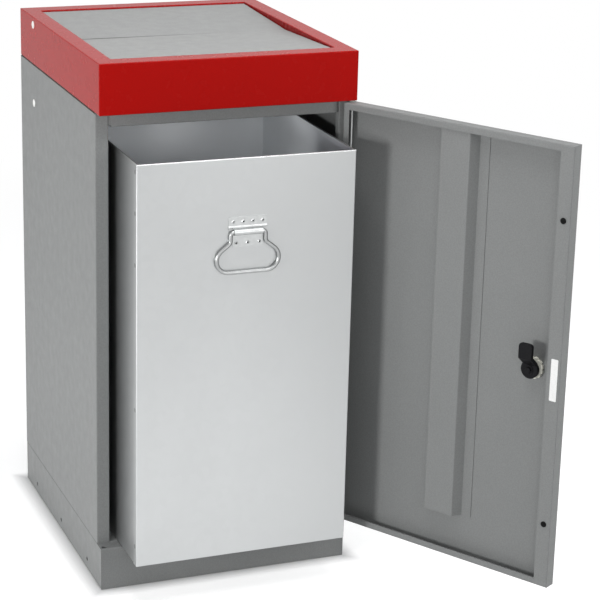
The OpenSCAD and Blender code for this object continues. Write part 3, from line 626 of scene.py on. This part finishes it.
class BIN_OT_handle(bpy.types.Operator):
    """Model the bent wire handle, its pressed plate and its hollow rivets"""
    bl_idname = "recycling_bin.handle"
    bl_label = "Handle"

    sheet_edge = 0.0002
    rivet_rim, rivet_hole = 0.00025, 0.0012

    # The wire: how far its arms lean out, its straight runs and its bends.
    lean = math.radians(52)
    arm, neck = 0.0135, 0.0075
    grip_bend, flare_bend, shoulder_bend = 0.019, 0.008, 0.0045
    grip_steps, flare_steps, shoulder_steps = 15, 5, 10
    leeway = 0.0006

    def execute(self, context):
        colours = context.scene.bin_colours
        pressed = zinc_plate("pressed zinc", shade(tuple(colours.zinc), 1.14), (0.36, 0.44))
        self.plate(pressed)
        self.rivets(pressed)
        drawn = zinc_plate("drawn zinc", shade(tuple(colours.zinc), 0.84), (0.3, 0.38))
        self.wire(context, drawn)
        return {"FINISHED"}

    def plate(self, zinc):
        plate = reworked("handle_plate", "handle_plate_pressed")
        rounded(plate, self.sheet_edge)
        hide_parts("handle_plate")
        finished(plate, "handle_plate_pressed", zinc, "container")

    def rivets(self, zinc):
        """Blind rivets: the round heads get the hole that the drawn-off pin leaves, with painted
        shade at its bottom.
        """
        rivets = reworked("handle_rivets", "handle_rivets_hollow")
        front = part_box("handle_rivets")[0][1]
        pick_faces(rivets, lambda middle, normal: middle.y < front + 0.0001 and normal.y < -0.9)
        bpy.ops.mesh.inset(thickness=self.rivet_rim)
        bpy.ops.mesh.extrude_region_move(
            TRANSFORM_OT_translate={"value": (0, self.rivet_hole, 0)})
        bpy.ops.object.mode_set(mode="OBJECT")
        rounded(rivets, self.sheet_edge)
        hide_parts("handle_rivets")
        finished(rivets, "handle_rivets_hollow", zinc, "container")
        # Painted shade: the bottom of each hole is coloured black.
        pin = moulded("rivet hole painted shade", (0.015, 0.015, 0.015), (0.5, 0.6), 0.05)
        rivets.data.materials.append(pin)
        bottom = front + self.rivet_hole
        pick_faces(rivets, lambda middle, normal: normal.y < -0.9
                   and abs(middle.y - bottom) < 0.0003)
        rivets.active_material_index = 1
        bpy.ops.object.material_slot_assign()
        bpy.ops.object.mode_set(mode="OBJECT")

    def wire(self, context, zinc):
        """Half of the wire is drawn out from the middle of the grip, then mirrored."""
        sizes = context.scene.bin_sizes
        _, y, top_z = joint_place("handle_lift")
        neck_x = sizes.handle_neck / 2
        across, up = math.sin(self.lean), math.cos(self.lean)
        neck_low = -self.shoulder_bend - self.neck
        flare_x = neck_x + self.flare_bend * (1 - up) + self.arm * across
        flare_z = neck_low - self.flare_bend * across - self.arm * up
        grip_x, grip_z = flare_x - self.grip_bend * up, flare_z - self.grip_bend * across
        nothing_selected()
        bpy.ops.mesh.primitive_circle_add(
            vertices=20, radius=sizes.wire_diameter / 2,
            location=(0, y, top_z + grip_z - self.grip_bend), rotation=(0, math.pi / 2, 0))
        wire = context.object
        bpy.ops.object.transform_apply(location=True, rotation=True, scale=True)
        all_picked()
        quarter = math.pi / 2
        self.run(grip_x, 0)
        self.turn(grip_x, y, top_z + grip_z, quarter + self.lean, self.grip_steps)
        self.run(-self.arm * across, self.arm * up)
        self.turn(neck_x + self.flare_bend, y, top_z + neck_low, -self.lean, self.flare_steps)
        self.run(0, self.neck)
        self.turn(neck_x - self.shoulder_bend, y, top_z - self.shoulder_bend, quarter,
                  self.shoulder_steps)
        self.run(self.shoulder_bend - neck_x, 0)
        bpy.ops.mesh.select_all(action="SELECT")
        bpy.ops.mesh.remove_doubles(threshold=SAME_POINT)
        bpy.ops.object.mode_set(mode="OBJECT")
        bpy.ops.object.modifier_add(type="MIRROR")
        mirror = wire.modifiers[-1]
        mirror.use_clip = True
        mirror.merge_threshold = 10 * SAME_POINT
        bpy.ops.object.modifier_apply(modifier=mirror.name)
        all_picked()
        bpy.ops.mesh.remove_doubles(threshold=SAME_POINT)
        bpy.ops.mesh.normals_make_consistent(inside=False)
        bpy.ops.object.mode_set(mode="OBJECT")
        bpy.ops.object.shade_smooth()
        self.compare(wire)
        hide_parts("handle_bail")
        finished(wire, "handle_wire", zinc, "handle")

    def run(self, x, z):
        """Draws the wire out straight."""
        bpy.ops.mesh.extrude_region_move(TRANSFORM_OT_translate={"value": (x, 0, z)})

    def turn(self, x, y, z, angle, steps):
        """Bends the wire on round a middle; a positive angle turns it to the left."""
        bpy.ops.mesh.spin(steps=steps, angle=angle, center=(x, y, z), axis=(0, 1, 0))

    def compare(self, wire):
        """Stops where the wire has left the room of the plain one."""
        low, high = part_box("handle_bail")
        points = [v.co for v in wire.data.vertices]
        for axis in range(3):
            least = min(p[axis] for p in points) - low[axis]
            most = max(p[axis] for p in points) - high[axis]
            if max(abs(least), abs(most)) > self.leeway:
                raise RuntimeError(f"the wire is off by {least:.4f} and {most:.4f} on axis {axis}")


class BIN_OT_lock(bpy.types.Operator):
    """Soften the lock's tongue, screw and nut"""
    bl_idname = "recycling_bin.lock"
    bl_label = "Lock"

    def execute(self, context):
        radius = context.scene.bin_sizes.edge_radius
        black = moulded("black coating", (0.007, 0.007, 0.008), (0.34, 0.46), 0.07)
        cream = moulded("cream plastic", (0.80, 0.79, 0.70))
        for node, name, material, body, slot in (
                ("lock_cam", "lock_tongue", black, "latch", "black_metal"),
                ("cam_screw", "tongue_screw", black, "latch", "black_metal"),
                ("lock_nut", "notched_nut", cream, "door", "white_plastic")):
            piece = reworked(node, name)
            rounded(piece, radius if node == "lock_cam" else 0.6 * radius)
            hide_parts(node)
            finished(piece, name, material, body)
        return {"FINISHED"}


class BIN_OT_fittings(bpy.types.Operator):
    """Finish the plugs, the buffers, the bushes and the screws"""
    bl_idname = "recycling_bin.fittings"
    bl_label = "Fittings"

    def execute(self, context):
        colours = context.scene.bin_colours
        dress(ZINC_PARTS, zinc_plate("zinc plating", tuple(colours.zinc), (0.38, 0.46)))
        white = moulded("white plastic", (0.80, 0.80, 0.78))
        dress(PLASTIC_PARTS, moulded("natural plastic", (0.40, 0.40, 0.37)))
        rubber = moulded("black rubber", (0.006, 0.006, 0.006), (0.6, 0.75), 0.05)
        for node, name, material, body, slot, radius in (
                ("side_plugs", "domed_plugs", white, "cabinet", "white_plastic", 0.0005),
                ("door_buffers", "soft_buffers", rubber, "door", "black_rubber", 0.0006)):
            piece = reworked(node, name)
            rounded(piece, radius, 3)
            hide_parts(node)
            finished(piece, name, material, body)
        return {"FINISHED"}


class BIN_OT_label(bpy.types.Operator):
    """Stick a small blank label on the door's free lip"""
    bl_idname = "recycling_bin.label"
    bl_label = "Door label"

    # Where the label's middle is while the door is closed.
    place = (-0.189, -0.20995, 0.395)
    corner, thickness = 0.0012, 0.00015

    def execute(self, context):
        sizes = context.scene.bin_sizes
        nothing_selected()
        bpy.ops.mesh.primitive_plane_add(
            size=1, location=on_open_door(*self.place),
            rotation=(math.pi / 2, 0, sizes.door_angle + math.pi))
        label = context.object
        label.dimensions = (sizes.label_width, sizes.label_height, 0)
        bpy.ops.object.transform_apply(location=False, rotation=False, scale=True)
        all_picked()
        bpy.ops.mesh.bevel(offset=self.corner, segments=4, affect="VERTICES")
        bpy.ops.mesh.select_all(action="SELECT")
        bpy.ops.mesh.extrude_region_move(TRANSFORM_OT_translate={
            "value": (0, 0, self.thickness), "orient_type": "NORMAL"})
        bpy.ops.mesh.select_all(action="SELECT")
        bpy.ops.mesh.normals_make_consistent(inside=False)
        bpy.ops.object.mode_set(mode="OBJECT")
        paper = moulded("label paper", (0.74, 0.74, 0.73), (0.5, 0.6), 0.1)
        finished(label, "door_label", paper, "door")
        return {"FINISHED"}


class BIN_OT_stage(bpy.types.Operator):
    """Set up the pale floor, the soft lamps and the camera"""
    bl_idname = "recycling_bin.stage"
    bl_label = "Stage"

    # The floor glows faintly round the cabinet's footprint, and fades to white
    # with its distance from the middle.
    floor_width, under_floor = 14, 0.0005
    floor_glow, glow_edge = 0.62, 0.03
    half_width, half_depth = 0.196, 0.226
    fade_start, fade_end = 1.0, 2.4
    fill_light = 0.34

    # Name, place, width, power in watts and what it points at. The last one
    # stays inside the container in every pose.
    soft_lamps = (
        ("lamp_key", (-2.9, -1.55, 0.7), 0.6, 59.0, (0.1, -0.2, 0.3)),
        ("lamp_low", (-1.3, 0.05, 0.16), 0.5, 4.3, (0.0, 0.0, 0.03)),
        ("lamp_front", (-0.5, -4.1, 1.35), 1.0, 13.5, (0.0, 0.1, 0.6)),
        ("lamp_door", (1.7, -3.8, 1.3), 1.2, 30.0, (0.2, -0.3, 0.4)),
        ("lamp_right", (3.0, -0.9, 1.3), 1.6, 42.0, (0.2, 0.0, 0.4)),
        ("lamp_top", (0.0, -0.5, 2.1), 1.2, 22.0, (0.0, -0.2, 0.4)),
        ("lamp_inside", (0.08, -0.13, 0.62), 0.12, 0.04, (0.2, 0.06, 0.58)),
    )

    def execute(self, context):
        self.floor(context)
        self.world(context)
        self.lamps(context)
        self.camera(context)
        return {"FINISHED"}

    def floor(self, context):
        """A pale floor that keeps the shadow and turns white away from the bin."""
        nothing_selected()
        bpy.ops.mesh.primitive_plane_add(
            size=self.floor_width, location=(0, 0, -self.under_floor))
        floor = context.object
        floor.name = "floor"
        nodes = Finish("pale floor")
        nodes.plain(Base_Color=(0.6, 0.6, 0.6, 1), Roughness=0.9, Specular_IOR_Level=0.1)
        glow = nodes.add("ShaderNodeEmission")
        nodes.join(*self.beside(nodes), glow, "Strength")
        lit = nodes.add("ShaderNodeAddShader")
        nodes.join(nodes.shader, 0, lit, 0)
        nodes.join(glow, 0, lit, 1)
        white = nodes.add("ShaderNodeEmission")
        away = nodes.add("ShaderNodeVectorMath", operation="LENGTH")
        nodes.join(*nodes.place, away, 0)
        far = nodes.ramp((away, "Value"), self.fade_start, self.fade_end)
        shown = nodes.choose(far, lit, white)
        surface = nodes.choose(nodes.seen(), nodes.shader, shown)
        nodes.join(surface, 0, nodes.output, "Surface")
        floor.data.materials.append(nodes.material)

    def beside(self, nodes):
        """The floor's own brightness, which stays off under the cabinet."""
        split = nodes.split()
        beyond = []
        for axis, edge in (("X", self.half_width), ("Y", self.half_depth)):
            size = nodes.math("ABSOLUTE", (split, axis))
            beyond.append(nodes.ramp(size, edge, edge + self.glow_edge, 0.0, self.floor_glow))
        return nodes.math("MAXIMUM", *beyond)

    def world(self, context):
        """A weak cool fill light, in front of a background that shows as white."""
        world = bpy.data.worlds.new("studio")
        context.scene.world = world
        world.use_nodes = True
        nodes = NodeTree(world.node_tree)
        fill = nodes.add("ShaderNodeBackground")
        fill.inputs["Color"].default_value = (0.95, 0.97, 1.0, 1)
        fill.inputs["Strength"].default_value = self.fill_light
        white = nodes.add("ShaderNodeBackground")
        white.inputs["Color"].default_value = (1, 1, 1, 1)
        white.inputs["Strength"].default_value = 1.0
        output = nodes.add("ShaderNodeOutputWorld")
        nodes.join(nodes.choose(nodes.seen(), fill, white), 0, output, "Surface")

    def lamps(self, context):
        for name, place, size, power, aim in self.soft_lamps:
            nothing_selected()
            bpy.ops.object.light_add(type="AREA", location=place)
            lamp = context.object
            lamp.name = name
            lamp.data.shape = "SQUARE"
            lamp.data.size = size
            lamp.data.energy = power
            lamp.visible_camera = False
            look = Vector(aim) - Vector(place)
            lamp.rotation_euler = look.to_track_quat("-Z", "Y").to_euler()

    def camera(self, context):
        studio = context.scene.bin_studio
        nothing_selected()
        bpy.ops.object.camera_add(location=studio.camera_place, rotation=studio.camera_turn)
        camera = context.object
        camera.name = "camera"
        camera.data.sensor_width = 36
        camera.data.lens = studio.lens
        camera.data.shift_y = studio.shift
        context.scene.camera = camera


class BIN_PT_panel(bpy.types.Panel):
    """Lists the parts of the bin and its settings"""
    bl_idname = "BIN_PT_panel"
    bl_label = "Recycling Bin"
    bl_space_type = "VIEW_3D"
    bl_region_type = "UI"
    bl_category = "Bin"

    def draw(self, context):
        for group in (context.scene.bin_sizes, context.scene.bin_colours, context.scene.bin_studio):
            box = self.layout.box()
            for key in group.bl_rna.properties.keys():
                if key not in ("rna_type", "name"):
                    box.prop(group, key)
        for operator in OPERATORS:
            self.layout.operator(operator.bl_idname)


OPERATORS = (
    BIN_OT_cabinet, BIN_OT_hood, BIN_OT_lid, BIN_OT_container, BIN_OT_welds, BIN_OT_handle,
    BIN_OT_lock, BIN_OT_fittings, BIN_OT_label, BIN_OT_stage,
)
CLASSES = (BinSizes, BinColours, BinStudio, *OPERATORS, BIN_PT_panel)


def register():
    for cls in CLASSES:
        bpy.utils.register_class(cls)
    bpy.types.Scene.bin_sizes = bpy.props.PointerProperty(type=BinSizes)
    bpy.types.Scene.bin_colours = bpy.props.PointerProperty(type=BinColours)
    bpy.types.Scene.bin_studio = bpy.props.PointerProperty(type=BinStudio)


def unregister():
    del bpy.types.Scene.bin_studio
    del bpy.types.Scene.bin_colours
    del bpy.types.Scene.bin_sizes
    for cls in reversed(CLASSES):
        bpy.utils.unregister_class(cls)


def main():
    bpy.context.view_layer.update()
    register()
    bpy.context.scene.view_settings.view_transform = "Standard"
    for operator in OPERATORS:
        name = operator.bl_idname.split(".")[1]
        getattr(bpy.ops.recycling_bin, name)()


if __name__ == "__main__":
    main()
